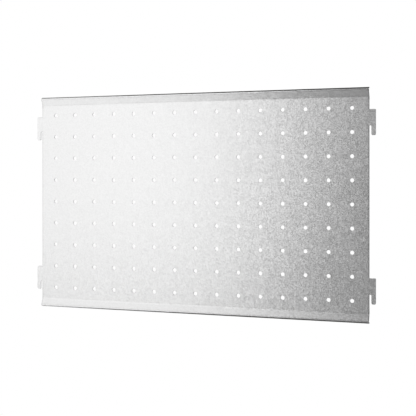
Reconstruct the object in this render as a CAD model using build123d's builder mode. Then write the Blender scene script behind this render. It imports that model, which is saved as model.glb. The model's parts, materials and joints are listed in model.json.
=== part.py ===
"""Pegboard tool wall: one sheet of galvanised steel, punched with a grid of peg holes, folded along its
top and bottom edges and hung between two slotted uprights by four hooks cut in one with it.

The sheet is modelled flange by flange: the flat face, the flared edge and return lip above and below
it, and the four hook tabs. Neighbours meet face to face along the bend lines and the hook roots.
Frame: X to the right, Y to the back, Z up, in mm. The origin is the centre of the middle peg hole,
halfway through the sheet.
"""
from build123d import *
from math import cos, radians, sin
import os

# Driving dimensions, in mm and degrees
sheet_thickness = 1.2

hole_pitch = 38.0  # the same across and down
hole_columns = 15
hole_rows = 9
hole_diameter = 6.5

side_margin = 27.5  # outer hole column to the cut side edge
top_margin = 17.0  # top hole row to the start of the upper flare's bend
bottom_margin = 19.0  # bottom hole row to the start of the lower flare's bend

flare_height = 15.1  # start of the flare's bend to the outermost edge of the panel
flare_angle = 21.0  # lean of the flare towards the front
flare_bend_radius = 4.0  # inside radius, on the front of the sheet
lip_bend_radius = 2.0  # inside radius, on the back of the sheet
lip_overhang = 2.0  # how far the lip ends behind the back of the face

hook_rows_apart = 7  # hole rows from the upper hooks down to the lower ones
upper_hook_drop = 2.5  # a hole row to the top of the hook beside it
lower_hook_drop = 1.3
hook_neck_height = 25.6
hook_leg_length = 15.2  # below the neck
hook_leg_width = 7.2
hook_slot_width = 3.0  # gap between the leg and the face's side edge
hook_top_radius = 1.3
hook_tip_radius = 2.4
hook_slot_radius = 1.6  # where the leg leaves the neck

# Sizes that follow
half_thickness = sheet_thickness / 2
half_width = (hole_columns - 1) / 2 * hole_pitch + side_margin
top_row = (hole_rows - 1) / 2 * hole_pitch
face_top = top_row + top_margin
face_bottom = -top_row - bottom_margin
face_middle = (face_top + face_bottom) / 2

flare_lean = radians(flare_angle)
flare_bend_middle = flare_bend_radius + half_thickness
lip_bend_middle = lip_bend_radius + half_thickness
flare_bend_rise = flare_bend_middle * sin(flare_lean)
lip_bend_rise = lip_bend_middle * (1 + sin(flare_lean)) + half_thickness
flare_run = (flare_height - flare_bend_rise - lip_bend_rise) / cos(flare_lean)

hook_reach = hook_slot_width + hook_leg_width
hook_height = hook_neck_height + hook_leg_length
lower_hook_row = top_row - hook_rows_apart * hole_pitch
hook_tops = {"upper": top_row - upper_hook_drop, "lower": lower_hook_row - lower_hook_drop}
sides = {"left": -1, "right": 1}

os.makedirs("parts", exist_ok=True)


def save(piece, name):
    """Label a finished piece and write its STEP file."""
    piece.part.label = name
    export_step(piece.part, f"parts/{name}.step")


# Face sheet: flat, with the peg holes punched from the front
with BuildPart() as face_sheet:
    with BuildSketch(Plane.XZ):
        with Locations((0, face_middle)):
            Rectangle(2 * half_width, face_top - face_bottom)
        with GridLocations(hole_pitch, hole_pitch, hole_columns, hole_rows):
            Circle(hole_diameter / 2, mode=Mode.SUBTRACT)
    extrude(amount=half_thickness, both=True)
save(face_sheet, "face_sheet")

# Flared edge: a soft bend towards the front, then a straight lean
with BuildPart() as top_flared_edge:
    with BuildSketch(Plane.YZ):
        with BuildLine():
            flare_bend = JernArc((0, face_top), (0, 1), flare_bend_middle, flare_angle)
            flare_end = flare_bend @ 1 + flare_bend % 1 * flare_run
            Line(flare_bend @ 1, flare_end)
        trace(line_width=sheet_thickness)
    extrude(amount=half_width, both=True)
save(top_flared_edge, "top_flared_edge")

# Return lip: a tight bend over the top of the flare, then level to the back
with BuildPart() as top_return_lip:
    with BuildSketch(Plane.YZ):
        with BuildLine():
            lip_bend = JernArc(flare_end, flare_bend % 1, lip_bend_middle, -(90 + flare_angle))
            Line(lip_bend @ 1, (half_thickness + lip_overhang, (lip_bend @ 1).Y))
        trace(line_width=sheet_thickness)
    extrude(amount=half_width, both=True)
save(top_return_lip, "top_return_lip")

# The bottom edge is the top edge turned over, about the middle of the face's height
with BuildPart() as bottom_flared_edge:
    mirror(top_flared_edge.part, about=Plane.XY.offset(face_middle))
save(bottom_flared_edge, "bottom_flared_edge")

with BuildPart() as bottom_return_lip:
    mirror(top_return_lip.part, about=Plane.XY.offset(face_middle))
save(bottom_return_lip, "bottom_return_lip")

# Hook tabs: a neck in the plane of the face and a leg that hangs down inside the upright
for side, direction in sides.items():
    root = direction * half_width
    slot_edge = root + direction * hook_slot_width
    outer_edge = root + direction * hook_reach
    for level, hook_top in hook_tops.items():
        neck_bottom = hook_top - hook_neck_height
        leg_tip = hook_top - hook_height
        with BuildPart() as hook_tab:
            with BuildSketch(Plane.XZ):
                with BuildLine():
                    Polyline(
                        (root, hook_top),
                        (outer_edge, hook_top),
                        (outer_edge, leg_tip),
                        (slot_edge, leg_tip),
                        (slot_edge, neck_bottom),
                        (root, neck_bottom),
                        close=True,
                    )
                make_face()
                fillet(vertices().group_by(Axis.Y)[0], hook_tip_radius)
                fillet(vertices().sort_by_distance((outer_edge, hook_top))[0], hook_top_radius)
                fillet(vertices().sort_by_distance((slot_edge, neck_bottom))[0], hook_slot_radius)
            extrude(amount=half_thickness, both=True)
        save(hook_tab, f"hook_tab_{level}_{side}")
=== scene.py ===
"""Looks of the pegboard tool wall: one sheet of galvanised steel, punched, folded and hung by its hooks.

The face is a field of punched tiles made by Geometry Nodes, with a plain margin at each side. The
flared edges and return lips are folded strips, and the hook tabs are small plates in line with the face.
"""
import json
import math
from itertools import pairwise

import bmesh
import bpy
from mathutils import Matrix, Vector


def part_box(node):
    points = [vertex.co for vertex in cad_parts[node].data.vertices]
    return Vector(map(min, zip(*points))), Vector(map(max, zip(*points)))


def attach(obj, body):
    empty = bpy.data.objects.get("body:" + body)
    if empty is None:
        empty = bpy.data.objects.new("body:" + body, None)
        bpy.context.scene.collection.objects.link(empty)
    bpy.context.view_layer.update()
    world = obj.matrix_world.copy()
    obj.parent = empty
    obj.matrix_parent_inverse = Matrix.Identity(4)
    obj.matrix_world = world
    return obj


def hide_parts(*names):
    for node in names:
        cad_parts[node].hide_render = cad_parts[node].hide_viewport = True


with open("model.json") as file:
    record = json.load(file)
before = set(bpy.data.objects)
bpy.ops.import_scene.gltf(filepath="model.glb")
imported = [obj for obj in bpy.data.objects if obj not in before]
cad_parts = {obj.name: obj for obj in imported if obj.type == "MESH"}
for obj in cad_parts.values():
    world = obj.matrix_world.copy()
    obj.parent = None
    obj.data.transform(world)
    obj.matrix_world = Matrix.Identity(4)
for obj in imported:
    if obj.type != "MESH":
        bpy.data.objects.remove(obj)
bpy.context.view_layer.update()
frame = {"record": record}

MM = 0.001
NEAR = 0.01 * MM  # closer than this is the same place

# ---------------------------------------------------------------- sizes the frame gives

mounts = {mount["name"]: mount for mount in frame["record"]["mounts"]}
face_low, face_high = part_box("face_sheet")
lip_low, lip_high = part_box("top_return_lip")
half_width = face_high.x
half_thickness = face_high.y
face_middle = (face_low.z + face_high.z) / 2

inner_holes = mounts["peg_holes_col_1_row_1"]["dims"]
outer_holes = mounts["peg_holes_col_7_row_4"]["dims"]
pitch = inner_holes["spacing_x_mm"] / 2 * MM
hole_columns = round(outer_holes["spacing_x_mm"] * MM / pitch) + 1
hole_rows = round(outer_holes["spacing_y_mm"] * MM / pitch) + 1
hole_radius = mounts["centre_peg_hole"]["dims"]["r_mm"] * MM

# ---------------------------------------------------------------- sizes of the folds, hooks and edges

FLARE_ANGLE = math.radians(21)
FLARE_BEND_RADIUS = 4.0 * MM  # inside radii, as the press leaves them
LIP_BEND_RADIUS = 2.0 * MM
FLARE_BEND_STEPS = 12
LIP_BEND_STEPS = 22

HOOK_NECK_HEIGHT = 25.6 * MM
HOOK_SLOT_WIDTH = 3.0 * MM
HOOK_TOP_RADIUS = 1.3 * MM
HOOK_TIP_RADIUS = 2.4 * MM
HOOK_SLOT_RADIUS = 1.6 * MM
HOOK_CORNER_STEPS = 8

# The shear and the punch come from the front and drag the sheet's skin down with them
SIDE_ROLL_WIDTH = 1.45 * MM
SIDE_ROLL_DEPTH = 0.5 * MM
SIDE_ROLL_STEPS = 5
RIM_ROLL_WIDTH = 0.15 * MM
RIM_ROLL_DEPTH = 0.1 * MM
HOOK_ROLL = 0.25 * MM
HOOK_ROLL_STEPS = 3
LIP_END_ROUNDING = 0.2 * MM
LIP_END_TURNS = (30, 60, 90)  # degrees round it
HOLE_SIDES = 24

SHEET = 0  # material slots of every piece
CUT = 1

FLAT = 0.999  # a face is flat, not curved, where its normal is more than this along one axis
EDGE_ON = 0.1  # a face is the cut's wall where its normal is less than this along the thickness


# ---------------------------------------------------------------- helpers


def add(tree, kind, inputs=None, **settings):
    """Add a node, set its properties, and fill its inputs with values or with other nodes' outputs."""
    made = tree.nodes.new(kind)
    for name, value in settings.items():
        setattr(made, name, value)
    for name, value in (inputs or {}).items():
        if isinstance(value, bpy.types.NodeSocket):
            tree.links.new(value, made.inputs[name])
        else:
            made.inputs[name].default_value = value
    return made


def linear(hex_colour):
    """An sRGB hex colour as linear red, green, blue and alpha."""
    channels = [int(hex_colour[i : i + 2], 16) / 255 for i in (1, 3, 5)]
    return (*[c / 12.92 if c <= 0.04045 else ((c + 0.055) / 1.055) ** 2.4 for c in channels], 1.0)


def show(name, mesh, node):
    """Put a finished mesh in the scene as the piece that stands for this CAD node."""
    piece = bpy.data.objects.new(name, mesh)
    bpy.context.collection.objects.link(piece)
    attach(piece, "root")
    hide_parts(node)


def finished_mesh(name, shape, materials):
    """Turn every face outwards and hand over the shape as a mesh."""
    bmesh.ops.recalc_face_normals(shape, faces=shape.faces)
    mesh = bpy.data.meshes.new(name)
    shape.to_mesh(mesh)
    shape.free()
    for material in materials:
        mesh.materials.append(material)
    return mesh


def roll_over(width, depth, steps):
    """(distance from the cut edge, drop below the front) down the quarter ellipse of a sheared edge."""
    turns = [math.pi / 2 * step / steps for step in range(steps + 1)]
    return [(width * (1 - math.sin(turn)), depth * (1 - math.cos(turn))) for turn in turns]


SIDE_ROLL = roll_over(SIDE_ROLL_WIDTH, SIDE_ROLL_DEPTH, SIDE_ROLL_STEPS)


# ---------------------------------------------------------------- materials


def galvanised_sheet():
    """Hot-dip galvanised steel, its spangle minimised and skin-passed: satin zinc that glitters softly,
    because its small crystals each lean a degree or two their own way, over faint upright streaks.

    The real crystals are under a millimetre. They and the streaks are drawn as coarse as they need to
    be to show.
    """
    material = bpy.data.materials.new("hot-dip galvanised steel, minimised spangle")
    material.use_nodes = True
    tree = material.node_tree
    shader = tree.nodes["Principled BSDF"]
    shader.inputs["Metallic"].default_value = 1.0
    place = add(tree, "ShaderNodeTexCoord").outputs["Object"]

    crystal = 1.7 * MM
    crystal_leans = (0.045, 0.0, 0.09)  # from one extreme to the other, in radians: across and up
    streak_width = 1.4 * MM
    streak_length = 9 * MM
    streak_leans = (0.055, 0.0, 0.05)
    crystals = add(tree, "ShaderNodeTexVoronoi", {"Vector": place, "Scale": 1 / crystal})
    streak_place = add(
        tree,
        "ShaderNodeMapping",
        {"Vector": place, "Scale": (1 / streak_width, 1 / streak_width, 1 / streak_length)},
    )
    streaks = add(
        tree, "ShaderNodeTexNoise", {"Vector": streak_place.outputs[0], "Scale": 1.0, "Detail": 2.0}
    )

    def lean(colour, amount):
        """A random colour as a small lean of the surface, no more to one side than to the other."""
        centred = add(tree, "ShaderNodeVectorMath", {0: colour, 1: (0.5, 0.5, 0.5)}, operation="SUBTRACT")
        scaled = add(tree, "ShaderNodeVectorMath", {0: centred.outputs[0], 1: amount}, operation="MULTIPLY")
        return scaled.outputs[0]

    crystal_lean = lean(crystals.outputs["Color"], crystal_leans)
    streak_lean = lean(streaks.outputs["Color"], streak_leans)
    both = add(tree, "ShaderNodeVectorMath", {0: crystal_lean, 1: streak_lean}, operation="ADD")
    level = add(tree, "ShaderNodeNewGeometry").outputs["Normal"]
    leaning = add(tree, "ShaderNodeVectorMath", {0: level, 1: both.outputs[0]}, operation="ADD")
    normal = add(tree, "ShaderNodeVectorMath", {0: leaning.outputs[0]}, operation="NORMALIZE")
    tree.links.new(normal.outputs[0], shader.inputs["Normal"])

    shade = add(tree, "ShaderNodeSeparateColor", {0: crystals.outputs["Color"]})
    roughness = add(
        tree, "ShaderNodeMapRange", {"Value": shade.outputs[1], "To Min": 0.28, "To Max": 0.31}
    )
    tree.links.new(roughness.outputs[0], shader.inputs["Roughness"])
    colour = add(
        tree,
        "ShaderNodeMix",
        {"Factor": shade.outputs[0], "A": linear("#E4E4E4"), "B": linear("#DDDDDD")},
        data_type="RGBA",
    )
    tree.links.new(colour.outputs["Result"], shader.inputs["Base Color"])
    return material


def cut_steel():
    """Mild steel bared by the punch and the shear: darker than the zinc, and torn along its depth."""
    material = bpy.data.materials.new("mild steel, sheared")
    material.use_nodes = True
    tree = material.node_tree
    shader = tree.nodes["Principled BSDF"]
    shader.inputs["Metallic"].default_value = 1.0
    place = add(tree, "ShaderNodeTexCoord").outputs["Object"]
    grain = 0.4 * MM
    tears = add(tree, "ShaderNodeTexNoise", {"Vector": place, "Scale": 1 / grain, "Detail": 2.0})
    roughness = add(
        tree, "ShaderNodeMapRange", {"Value": tears.outputs[0], "To Min": 0.35, "To Max": 0.55}
    )
    tree.links.new(roughness.outputs[0], shader.inputs["Roughness"])
    colour = add(
        tree,
        "ShaderNodeMix",
        {"Factor": tears.outputs[0], "A": linear("#ACAEB0"), "B": linear("#BCBDBE")},
        data_type="RGBA",
    )
    tree.links.new(colour.outputs["Result"], shader.inputs["Base Color"])
    return material


# ---------------------------------------------------------------- face


def peg_hole_field():
    """Geometry Nodes: one square tile with a punched hole, repeated across and down, welded together
    and stood upright.

    The tile is a tube of six rings, each one unit further along: the front's square border, the rim
    where the front starts to roll over, the middle of the roll, the front and the back of the hole's
    wall, and the back's square border.
    """
    tree = bpy.data.node_groups.new("peg hole field", "GeometryNodeTree")
    for name in ("Pitch", "Hole Radius", "Roll Width", "Roll Depth", "Half Thickness"):
        tree.interface.new_socket(name, in_out="INPUT", socket_type="NodeSocketFloat")
    for name in ("Columns", "Rows"):
        tree.interface.new_socket(name, in_out="INPUT", socket_type="NodeSocketInt")
    for name in ("Sheet", "Cut"):
        tree.interface.new_socket(name, in_out="INPUT", socket_type="NodeSocketMaterial")
    tree.interface.new_socket("Geometry", in_out="OUTPUT", socket_type="NodeSocketGeometry")
    size = add(tree, "NodeGroupInput").outputs

    def sum_of(operation, first, second):
        return add(tree, "ShaderNodeMath", {0: first, 1: second}, operation=operation).outputs[0]

    def by_ring(ring, values):
        switch = add(tree, "GeometryNodeIndexSwitch", {"Index": ring}, data_type="FLOAT")
        for _ in values[2:]:
            switch.index_switch_items.new()
        for index, value in enumerate(values):
            tree.links.new(value, switch.inputs[index + 1])
        return switch.outputs[0]

    bands = 5
    tube = add(
        tree,
        "GeometryNodeMeshCylinder",
        {"Vertices": HOLE_SIDES, "Side Segments": bands, "Radius": 1.0, "Depth": float(bands)},
        fill_type="NONE",
    )
    along = add(tree, "ShaderNodeSeparateXYZ", {0: add(tree, "GeometryNodeInputPosition").outputs[0]})
    ring = sum_of("ROUND", sum_of("ADD", along.outputs["Z"], bands / 2), 0.0)
    across_share = sum_of("ABSOLUTE", along.outputs["X"], 0.0)
    down_share = sum_of("ABSOLUTE", along.outputs["Y"], 0.0)
    half_pitch = sum_of("MULTIPLY", size["Pitch"], 0.5)
    border = sum_of("DIVIDE", half_pitch, sum_of("MAXIMUM", across_share, down_share))

    mid_roll = 1 - math.sqrt(0.5)  # halfway round a quarter circle
    wall = size["Hole Radius"]
    rim = sum_of("ADD", wall, size["Roll Width"])
    shoulder = sum_of("ADD", wall, sum_of("MULTIPLY", size["Roll Width"], mid_roll))
    reach = by_ring(ring, [border, rim, shoulder, wall, wall, border])

    front = size["Half Thickness"]
    back = sum_of("MULTIPLY", front, -1.0)
    shoulder_height = sum_of("SUBTRACT", front, sum_of("MULTIPLY", size["Roll Depth"], mid_roll))
    wall_height = sum_of("SUBTRACT", front, size["Roll Depth"])
    height = by_ring(ring, [front, front, shoulder_height, wall_height, back, back])

    moved = add(
        tree,
        "ShaderNodeCombineXYZ",
        {
            "X": sum_of("MULTIPLY", along.outputs["X"], reach),
            "Y": sum_of("MULTIPLY", along.outputs["Y"], reach),
            "Z": height,
        },
    )
    tile = add(
        tree, "GeometryNodeSetPosition", {"Geometry": tube.outputs["Mesh"], "Position": moved.outputs[0]}
    )
    centres = add(
        tree,
        "GeometryNodeMeshGrid",
        {
            "Size X": sum_of("MULTIPLY", size["Pitch"], sum_of("SUBTRACT", size["Columns"], 1.0)),
            "Size Y": sum_of("MULTIPLY", size["Pitch"], sum_of("SUBTRACT", size["Rows"], 1.0)),
            "Vertices X": size["Columns"],
            "Vertices Y": size["Rows"],
        },
    )
    tiles = add(
        tree,
        "GeometryNodeInstanceOnPoints",
        {"Points": centres.outputs["Mesh"], "Instance": tile.outputs[0]},
    )
    real = add(tree, "GeometryNodeRealizeInstances", {"Geometry": tiles.outputs[0]})
    welded = add(tree, "GeometryNodeMergeByDistance", {"Geometry": real.outputs[0], "Distance": NEAR})
    upright = add(
        tree, "GeometryNodeTransform", {"Geometry": welded.outputs[0], "Rotation": (math.pi / 2, 0, 0)}
    )

    facing = add(tree, "ShaderNodeSeparateXYZ", {0: add(tree, "GeometryNodeInputNormal").outputs[0]})
    flatness = sum_of("ABSOLUTE", facing.outputs["Y"], 0.0)
    curved = sum_of("LESS_THAN", flatness, FLAT)
    punched = sum_of("LESS_THAN", flatness, EDGE_ON)
    rounded = add(
        tree,
        "GeometryNodeSetShadeSmooth",
        {"Geometry": upright.outputs[0], "Shade Smooth": curved},
    )
    zinc = add(
        tree, "GeometryNodeSetMaterial", {"Geometry": rounded.outputs[0], "Material": size["Sheet"]}
    )
    bare = add(
        tree,
        "GeometryNodeSetMaterial",
        {"Geometry": zinc.outputs[0], "Selection": punched, "Material": size["Cut"]},
    )
    add(tree, "NodeGroupOutput", {"Geometry": bare.outputs[0]})
    return tree


def made_by(tree, values):
    """Run a Geometry Nodes tree on an empty object and keep the plain mesh that it makes."""
    holder = bpy.data.objects.new(tree.name, bpy.data.meshes.new(tree.name))
    bpy.context.collection.objects.link(holder)
    modifier = holder.modifiers.new("nodes", "NODES")
    modifier.node_group = tree
    for socket in tree.interface.items_tree:
        if socket.in_out == "INPUT":
            modifier[socket.identifier] = values[socket.name]
    evaluated = holder.evaluated_get(bpy.context.evaluated_depsgraph_get())
    mesh = bpy.data.meshes.new_from_object(evaluated)
    bpy.data.objects.remove(holder)
    return mesh


def hook_necks(side):
    """(bottom, top) of each stretch of this side edge that runs on into a hook."""
    tops = [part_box(f"hook_tab_{level}_{side}")[1].z for level in ("lower", "upper")]
    return [(top - HOOK_NECK_HEIGHT, top) for top in tops]


def border_line(shape, x, y):
    """The open border's vertices at one side of the field, from the bottom up."""
    line = [v for v in shape.verts if abs(v.co.x - x) < NEAR and abs(v.co.y - y) < NEAR]
    return sorted(line, key=lambda v: v.co.z)


def divide_border(shape, x, y, heights):
    """Give the border a vertex at each of these heights."""
    for z in heights:
        for lower, upper in pairwise(border_line(shape, x, y)):
            if lower.co.z + NEAR < z < upper.co.z - NEAR:
                edge = shape.edges.get((lower, upper))
                bmesh.utils.edge_split(edge, lower, (z - lower.co.z) / (upper.co.z - lower.co.z))
                break


def add_side_margin(shape, side, direction):
    """Plain sheet from the outer holes' tiles to the side edge. Its front rolls over at the cut, but
    not where the sheet runs on into a hook."""
    necks = hook_necks(side)
    x = direction * hole_columns / 2 * pitch
    steps = [z for low, high in necks for z in (low - SIDE_ROLL_WIDTH, low, high, high + SIDE_ROLL_WIDTH)]
    for y in (-half_thickness, half_thickness):
        divide_border(shape, x, y, steps)
    sections = []
    fronts = border_line(shape, x, -half_thickness)
    backs = border_line(shape, x, half_thickness)
    for front, back in zip(fronts, backs):
        z = front.co.z
        in_neck = any(low - NEAR < z < high + NEAR for low, high in necks)
        section = [front]
        for gap, drop in SIDE_ROLL:
            y = -half_thickness + (0 if in_neck else drop)
            section.append(shape.verts.new((direction * (half_width - gap), y, z)))
        section.append(shape.verts.new((direction * half_width, half_thickness, z)))
        section.append(back)
        sections.append(section)
    for lower, upper in pairwise(sections):
        for step in range(len(lower) - 1):
            face = shape.faces.new((lower[step], lower[step + 1], upper[step + 1], upper[step]))
            face.smooth = 1 <= step < len(SIDE_ROLL)
            face.material_index = CUT if step == len(SIDE_ROLL) else SHEET


def punched_face(materials):
    field = made_by(
        peg_hole_field(),
        {
            "Pitch": pitch,
            "Hole Radius": hole_radius,
            "Roll Width": RIM_ROLL_WIDTH,
            "Roll Depth": RIM_ROLL_DEPTH,
            "Half Thickness": half_thickness,
            "Columns": hole_columns,
            "Rows": hole_rows,
            "Sheet": materials[SHEET],
            "Cut": materials[CUT],
        },
    )
    shape = bmesh.new()
    shape.from_mesh(field)
    for face in shape.faces:
        face.material_index = materials.index(field.materials[face.material_index])
    for vertex in shape.verts:  # the outer tiles end where the bends begin
        if abs(vertex.co.z) > hole_rows / 2 * pitch - NEAR:
            vertex.co.z = face_high.z if vertex.co.z > 0 else face_low.z
    for side, direction in (("left", -1), ("right", 1)):
        add_side_margin(shape, side, direction)
    bmesh.ops.holes_fill(shape, edges=[edge for edge in shape.edges if edge.is_boundary], sides=0)
    show("punched_face", finished_mesh("punched_face", shape, materials), "face_sheet")


# ---------------------------------------------------------------- folded edges


def bend(stations, radius, turn, steps):
    """Carry the sheet's middle line round a bend. A station is (place, heading, pull, curved)."""
    place, heading, pull, _ = stations[-1]
    stations[-1] = (place, heading, pull, True)
    step_turn = turn / steps
    chord = 2 * radius * math.sin(abs(step_turn) / 2)
    for step in range(steps):
        middle = heading + step_turn / 2
        place = place + chord * Vector((-math.sin(middle), math.cos(middle)))
        heading += step_turn
        stations.append((place, heading, 0.0, step < steps - 1))


def run_on(stations, length, pull=0.0, curved=False):
    """Carry the middle line straight on. pull draws both faces in, as where a cut edge is rounded."""
    place, heading, _, _ = stations[-1]
    ahead = Vector((-math.sin(heading), math.cos(heading)))
    stations.append((place + length * ahead, heading, pull, curved))


def flare_stations():
    """The flared edge: a soft bend forwards from the top of the face, then a straight lean. Places
    are (y, z), and a heading is the angle from straight up towards the front."""
    bend_middle = FLARE_BEND_RADIUS + half_thickness
    lip_middle = LIP_BEND_RADIUS + half_thickness
    bend_rise = bend_middle * math.sin(FLARE_ANGLE)
    lip_rise = lip_middle * (1 + math.sin(FLARE_ANGLE)) + half_thickness
    rise = lip_high.z - face_high.z
    stations = [(Vector((0, face_high.z)), 0.0, 0.0, False)]
    bend(stations, bend_middle, FLARE_ANGLE, FLARE_BEND_STEPS)
    run_on(stations, (rise - bend_rise - lip_rise) / math.cos(FLARE_ANGLE))
    return stations


def lip_stations(flare_end):
    """The return lip: a tight bend back over the flare's edge, then level to a cut edge behind."""
    place, heading, _, _ = flare_end
    stations = [(place, heading, 0.0, False)]
    bend(stations, LIP_BEND_RADIUS + half_thickness, -(math.pi / 2 + FLARE_ANGLE), LIP_BEND_STEPS)
    run_on(stations, lip_high.y - stations[-1][0].x - LIP_END_ROUNDING, curved=True)
    for degrees in LIP_END_TURNS:
        turn = math.radians(degrees)
        y = lip_high.y - LIP_END_ROUNDING * (1 - math.sin(turn))
        pull = LIP_END_ROUNDING * (1 - math.cos(turn))
        run_on(stations, y - stations[-1][0].x, pull, curved=degrees < LIP_END_TURNS[-1])
    return stations


def folded_strip(name, stations, turned_over, materials, end_is_cut):
    """A strip of sheet across the whole panel that follows the stations, or follows them turned over
    about the middle of the face's height. The front's skin rolls over at the two side edges."""
    columns = [(-half_width + gap, drop) for gap, drop in reversed(SIDE_ROLL)]
    columns += [(half_width - gap, drop) for gap, drop in SIDE_ROLL]
    shape = bmesh.new()
    fronts, backs = [], []
    for x, drop in columns:
        front, back = [], []
        for place, heading, pull, _ in stations:
            outwards = Vector((-math.cos(heading), -math.sin(heading)))
            y, z = place + (half_thickness - drop - pull) * outwards
            front.append(shape.verts.new((x, y, 2 * face_middle - z if turned_over else z)))
            y, z = place - (half_thickness - pull) * outwards
            back.append(shape.verts.new((x, y, 2 * face_middle - z if turned_over else z)))
        fronts.append(front)
        backs.append(back)
    for column, (first, second) in enumerate(pairwise(columns)):
        rolled = abs(first[1] - second[1]) > 0
        for row, station in enumerate(stations[:-1]):
            for side in (fronts, backs):
                corners = (side[column][row], side[column + 1][row])
                corners += (side[column + 1][row + 1], side[column][row + 1])
                face = shape.faces.new(corners)
                face.smooth = station[3] or (rolled and side is fronts)
        for row, cut in ((0, False), (-1, end_is_cut)):
            corners = (fronts[column][row], fronts[column + 1][row])
            corners += (backs[column + 1][row], backs[column][row])
            face = shape.faces.new(corners)
            face.material_index = CUT if cut else SHEET
    for column in (0, -1):
        for row in range(len(stations) - 1):
            corners = (fronts[column][row], fronts[column][row + 1])
            corners += (backs[column][row + 1], backs[column][row])
            face = shape.faces.new(corners)
            face.material_index = CUT
    return finished_mesh(name, shape, materials)


def folded_edges(materials):
    flare = flare_stations()
    lip = lip_stations(flare[-1])
    for edge, turned_over in (("top", False), ("bottom", True)):
        name = f"{edge}_flare"
        show(name, folded_strip(name, flare, turned_over, materials, False), f"{edge}_flared_edge")
        name = f"{edge}_lip"
        show(name, folded_strip(name, lip, turned_over, materials, True), f"{edge}_return_lip")


# ---------------------------------------------------------------- hooks


def rounded_corner(before, corner, after, radius, steps):
    """Points on the arc that rounds a corner, or the corner itself where it has no radius."""
    if radius == 0:
        return [corner]
    back, ahead = (before - corner).normalized(), (after - corner).normalized()
    half_angle = back.angle(ahead) / 2
    start = corner + back * radius / math.tan(half_angle)
    centre = corner + (back + ahead).normalized() * radius / math.sin(half_angle)
    first = start - centre
    sweep = math.pi - 2 * half_angle
    turn = math.copysign(sweep, back.cross(ahead) * -1)
    points = []
    for step in range(steps + 1):
        angle = turn * step / steps
        cos, sin = math.cos(angle), math.sin(angle)
        points.append(centre + Vector((first.x * cos - first.y * sin, first.x * sin + first.y * cos)))
    return points


def hook_outline(node, direction):
    """The hook's outline in (x, z), from the top of its root round to the bottom of its root."""
    low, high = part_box(node)
    root, outer = (low.x, high.x) if direction > 0 else (high.x, low.x)
    slot = root + direction * HOOK_SLOT_WIDTH
    neck_bottom = high.z - HOOK_NECK_HEIGHT
    corners = [
        (Vector((root, high.z)), 0),
        (Vector((outer, high.z)), HOOK_TOP_RADIUS),
        (Vector((outer, low.z)), HOOK_TIP_RADIUS),
        (Vector((slot, low.z)), HOOK_TIP_RADIUS),
        (Vector((slot, neck_bottom)), HOOK_SLOT_RADIUS),
        (Vector((root, neck_bottom)), 0),
    ]
    outline = []
    for index, (corner, radius) in enumerate(corners):
        before = corners[index - 1][0]
        after = corners[(index + 1) % len(corners)][0]
        outline += rounded_corner(before, corner, after, radius, HOOK_CORNER_STEPS)
    return outline


def hook_plate(name, node, direction, materials):
    """A hook as a plate in line with the face, with its front rolled over along the cut outline."""
    outline = hook_outline(node, direction)
    shape = bmesh.new()
    rolled = shape.edges.layers.float.new("bevel_weight_edge")
    front = [shape.verts.new((x, -half_thickness, z)) for x, z in outline]
    back = [shape.verts.new((x, half_thickness, z)) for x, z in outline]
    shape.faces.new(front)
    shape.faces.new(back)
    for index in range(len(outline)):
        after = (index + 1) % len(outline)
        shape.faces.new((front[index], front[after], back[after], back[index]))
    for index in range(len(outline) - 1):
        shape.edges.get((front[index], front[index + 1]))[rolled] = 1.0
    mesh = finished_mesh(name, shape, materials)

    plain = bpy.data.objects.new(name, mesh)
    bpy.context.collection.objects.link(plain)
    roll = plain.modifiers.new("roll", "BEVEL")
    roll.limit_method = "WEIGHT"
    roll.width = HOOK_ROLL
    roll.segments = HOOK_ROLL_STEPS
    evaluated = plain.evaluated_get(bpy.context.evaluated_depsgraph_get())
    mesh = bpy.data.meshes.new_from_object(evaluated)
    bpy.data.objects.remove(plain)
    for face in mesh.polygons:
        x, y, z = (abs(part) for part in face.normal)
        face.use_smooth = max(x, y, z) < FLAT
        face.material_index = CUT if y < EDGE_ON else SHEET
    mesh.name = name
    return mesh


def hook_tabs(materials):
    for level in ("upper", "lower"):
        for side, direction in (("left", -1), ("right", 1)):
            name = f"{level}_{side}_hook"
            node = f"hook_tab_{level}_{side}"
            show(name, hook_plate(name, node, direction, materials), node)


# ---------------------------------------------------------------- studio

CAMERA_PLACE = Vector((0.612, -1.519, 0.043))
CAMERA_TURN = 21.19  # degrees to the left of square on
CAMERA_LENS = 84.7  # mm on a 36 mm sensor
CAMERA_SHIFT = (-0.0008, -0.0742)

FLOOR_HEIGHT = -1.2
FLOOR_SIZE = 5.0

# Light is given as radiance, where 1 is the white backdrop
BACKDROP_LIGHT = 1.0
FLOOR_LIGHT = 0.8
ROOM_LIGHT = 0.2

KEY_LIGHT = 1.2
KEY_EXTRA = 0.28
KEY_LAMP = (-0.85, -2.5, 0.15)
KEY_REACH = 1.2
KEY_OUTLINE = ((-3.2, -0.78), (-0.68, -0.78), (-0.46, 0.4), (-1.1, 4.2), (-3.2, 4.2))  # x and z
REAR_LIGHT = 0.75
REAR_EXTRA = 0.4
REAR_LAMP = (-1.5, 2.4, 0.3)
REAR_REACH = 3.0
LOW_LIGHT = 1.25
SIDE_LIGHT = 0.8
LEFT_CARD_LIGHT = 0.7
FLOOR_CARD_LIGHT = 0.26
BLACK = 0.0

# Level sheets: low and high x, low and high y, z
LOW_SOFTBOX = (-2.6, -0.58, -2.5, -0.5, -1.05)
TOP_CARD = (-0.8, 3.0, -0.75, 2.3, 1.2)
LOW_CARD = (-0.85, 3.0, -0.5, 2.3, -1.1)
FLOOR_CARD = (-0.58, 3.0, -2.5, -0.5, -1.1)

# Sheets across the studio: low and high x, y, low and high z
SIDE_SOFTBOX = (2.1, 5.0, -2.5, -0.8, 3.2)
REAR_SOFTBOX = (-4.0, 4.0, 2.4, -1.1, 3.0)

# A sheet along the studio's side: x, low and high y, low and high z
LEFT_CARD = (-3.2, -2.5, 2.0, -0.8, 3.0)


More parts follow.
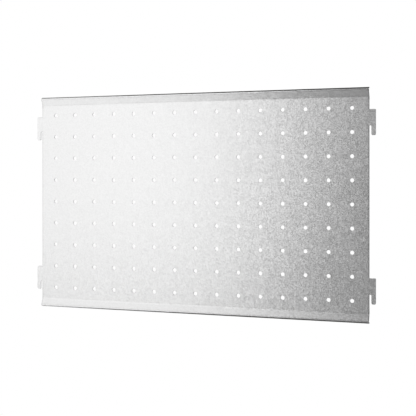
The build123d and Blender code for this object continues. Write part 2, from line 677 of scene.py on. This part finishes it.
def place_camera():
    data = bpy.data.cameras.new("camera")
    data.lens = CAMERA_LENS
    data.sensor_width = 36.0
    data.shift_x, data.shift_y = CAMERA_SHIFT
    camera = bpy.data.objects.new("camera", data)
    camera.location = CAMERA_PLACE
    camera.rotation_euler = (math.radians(90), 0, math.radians(CAMERA_TURN))
    bpy.context.collection.objects.link(camera)
    bpy.context.scene.camera = camera


def stage_plane(name, corners, material):
    """A flat piece of the studio between these corners. It isn't part of the object."""
    mesh = bpy.data.meshes.new(name)
    mesh.from_pydata(corners, [], [range(len(corners))])
    mesh.materials.append(material)
    plane = bpy.data.objects.new(name, mesh)
    bpy.context.collection.objects.link(plane)
    return plane


def glow(name, radiance, lamp=(0, 0, 0), reach=1.0, extra=0.0):
    """A softbox's lit cloth, with extra light around the place in front of its lamp."""
    material = bpy.data.materials.new(name)
    material.use_nodes = True
    tree = material.node_tree
    tree.nodes.clear()
    place = add(tree, "ShaderNodeTexCoord").outputs["Object"]
    from_lamp = add(
        tree,
        "ShaderNodeMapping",
        {"Vector": place, "Location": lamp, "Scale": (reach, reach, reach)},
        vector_type="TEXTURE",
    )
    nearness = add(
        tree, "ShaderNodeTexGradient", {"Vector": from_lamp.outputs[0]}, gradient_type="SPHERICAL"
    )
    strength = add(
        tree,
        "ShaderNodeMapRange",
        {"Value": nearness.outputs["Fac"], "To Min": radiance, "To Max": radiance + extra},
    )
    light = add(tree, "ShaderNodeEmission", {"Strength": strength.outputs[0]})
    add(tree, "ShaderNodeOutputMaterial", {"Surface": light.outputs[0]})
    return material


def softbox(name, corners, *light):
    """A lit sheet that the camera doesn't see. The light is what glow takes after its name."""
    plane = stage_plane(name, corners, glow(name, *light))
    plane.visible_camera = False
    return plane


def level_sheet(low_x, high_x, low_y, high_y, z):
    """The corners of a level rectangle."""
    return [(low_x, low_y, z), (high_x, low_y, z), (high_x, high_y, z), (low_x, high_y, z)]


def upright_sheet(low_x, high_x, y, low_z, high_z):
    """The corners of an upright rectangle across the studio."""
    return [(low_x, y, low_z), (high_x, y, low_z), (high_x, y, high_z), (low_x, y, high_z)]


def facing_sheet(x, low_y, high_y, low_z, high_z):
    """The corners of an upright rectangle along the studio's side."""
    return [(x, low_y, low_z), (x, high_y, low_z), (x, high_y, high_z), (x, low_y, high_z)]


def card(name, corners, radiance):
    """Dark or pale cloth that only the metal's reflections see. It throws no shade."""
    plane = softbox(name, corners, radiance)
    plane.visible_diffuse = False
    plane.visible_shadow = False


def pale_floor():
    material = bpy.data.materials.new("pale floor")
    material.use_nodes = True
    shader = material.node_tree.nodes["Principled BSDF"]
    shader.inputs["Base Color"].default_value = linear("#EFEFEF")
    shader.inputs["Roughness"].default_value = 0.8
    half = FLOOR_SIZE / 2
    stage_plane("floor", level_sheet(-half, half, -half, half, FLOOR_HEIGHT), material)


def studio_world():
    """A white backdrop to look at, soft light for the floor, and a dim grey room around the metal."""
    world = bpy.data.worlds.new("studio")
    bpy.context.scene.world = world
    world.use_nodes = True
    tree = world.node_tree
    tree.nodes.clear()
    ray = add(tree, "ShaderNodeLightPath").outputs
    room = add(tree, "ShaderNodeBackground", {"Strength": ROOM_LIGHT, "Color": (1, 1, 1, 1)})
    fill = add(tree, "ShaderNodeBackground", {"Strength": FLOOR_LIGHT, "Color": (1, 1, 1, 1)})
    backdrop = add(tree, "ShaderNodeBackground", {"Strength": BACKDROP_LIGHT, "Color": (1, 1, 1, 1)})
    unseen = add(
        tree, "ShaderNodeMixShader", {0: ray["Is Diffuse Ray"], 1: room.outputs[0], 2: fill.outputs[0]}
    )
    mixed = add(
        tree, "ShaderNodeMixShader", {0: ray["Is Camera Ray"], 1: unseen.outputs[0], 2: backdrop.outputs[0]}
    )
    add(tree, "ShaderNodeOutputWorld", {"Surface": mixed.outputs[0]})
    bpy.context.scene.view_settings.view_transform = "Standard"


place_camera()
studio_world()
pale_floor()
key_corners = [(x, KEY_LAMP[1], z) for x, z in KEY_OUTLINE]
rear_corners = upright_sheet(*REAR_SOFTBOX)
softbox("key_softbox", key_corners, KEY_LIGHT, KEY_LAMP, KEY_REACH, KEY_EXTRA)
softbox("low_softbox", level_sheet(*LOW_SOFTBOX), LOW_LIGHT)
softbox("side_softbox", upright_sheet(*SIDE_SOFTBOX), SIDE_LIGHT)
softbox("rear_softbox", rear_corners, REAR_LIGHT, REAR_LAMP, REAR_REACH, REAR_EXTRA)
card("top_card", level_sheet(*TOP_CARD), BLACK)
card("low_card", level_sheet(*LOW_CARD), BLACK)
card("floor_card", level_sheet(*FLOOR_CARD), FLOOR_CARD_LIGHT)
card("left_card", facing_sheet(*LEFT_CARD), LEFT_CARD_LIGHT)

finishes = (galvanised_sheet(), cut_steel())
punched_face(finishes)
folded_edges(finishes)
hook_tabs(finishes)
